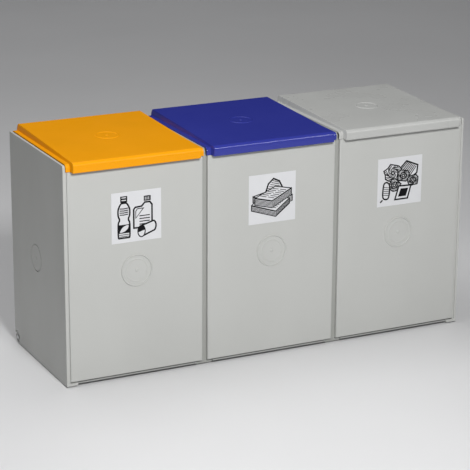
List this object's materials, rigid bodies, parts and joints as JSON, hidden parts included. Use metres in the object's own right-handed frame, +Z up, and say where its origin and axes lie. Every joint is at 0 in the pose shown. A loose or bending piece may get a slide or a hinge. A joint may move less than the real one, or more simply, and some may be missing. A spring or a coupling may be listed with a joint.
{
  "type": "waste sorting station",
  "caption": "Free-standing waste sorting station: square grey plastic bays in a row with coloured hinged lids that rise slightly to the rear, pictogram labels and tilt-and-roll rollers.",
  "frame": {"origin": "centre of the footprint, lid lips included, on the floor", "axes": "+X along the row of bays to the right, -Y towards the user in front of the bays, +Z up"},
  "size_m": [0.96, 0.328, 0.501],
  "materials": {
    "body_grey": "fine-textured injection moulding, satin",
    "tray_grey": "fine-textured injection moulding",
    "ring_grey": "moulded, satin",
    "roller_grey": "moulded, smooth tread",
    "lid_yellow": "satin to semi-gloss moulding",
    "lid_blue": "satin to semi-gloss moulding",
    "lid_grey": "satin to semi-gloss moulding",
    "label_vinyl": "printed vinyl, smooth",
    "steel": "drawn, zinc plated"
  },
  "bodies": {
    "station": {"end_wall_left": "body_grey", "end_wall_right": "body_grey", "divider_1": "body_grey", "divider_2": "body_grey", "front_panel_1": "body_grey", "back_panel_1": "body_grey", "base_tray_1": "tray_grey", "bag_ring_1": "ring_grey", "hinge_rod_1": "steel", "label_1": "label_vinyl", "front_panel_2": "body_grey", "back_panel_2": "body_grey", "base_tray_2": "tray_grey", "bag_ring_2": "ring_grey", "hinge_rod_2": "steel", "label_2": "label_vinyl", "front_panel_3": "body_grey", "back_panel_3": "body_grey", "base_tray_3": "tray_grey", "bag_ring_3": "ring_grey", "hinge_rod_3": "steel", "label_3": "label_vinyl", "roller_axle_left": "steel", "roller_axle_right": "steel"},
    "lid_1_body": {"lid_1": "lid_yellow"},
    "lid_2_body": {"lid_2": "lid_blue"},
    "lid_3_body": {"lid_3": "lid_grey"},
    "roller_left_body": {"roller_left": "roller_grey"},
    "roller_right_body": {"roller_right": "roller_grey"}
  },
  "joints": [
    {"name": "lid_1_hinge", "type": "hinge", "parent": "station", "child": "lid_1_body", "pos_m": [-0.318, 0.152, 0.476], "axis": [-1, 0, 0], "range_deg": [0, 105]},
    {"name": "lid_2_hinge", "type": "hinge", "parent": "station", "child": "lid_2_body", "pos_m": [0, 0.152, 0.476], "axis": [-1, 0, 0], "range_deg": [0, 105]},
    {"name": "lid_3_hinge", "type": "hinge", "parent": "station", "child": "lid_3_body", "pos_m": [0.318, 0.152, 0.476], "axis": [-1, 0, 0], "range_deg": [0, 105]},
    {"name": "roller_left_spin", "type": "hinge", "parent": "station", "child": "roller_left_body", "pos_m": [-0.47, 0.151, 0.014], "axis": [1, 0, 0], "continuous": true},
    {"name": "roller_right_spin", "type": "hinge", "parent": "station", "child": "roller_right_body", "pos_m": [0.47, 0.151, 0.014], "axis": [1, 0, 0], "continuous": true}
  ]
}
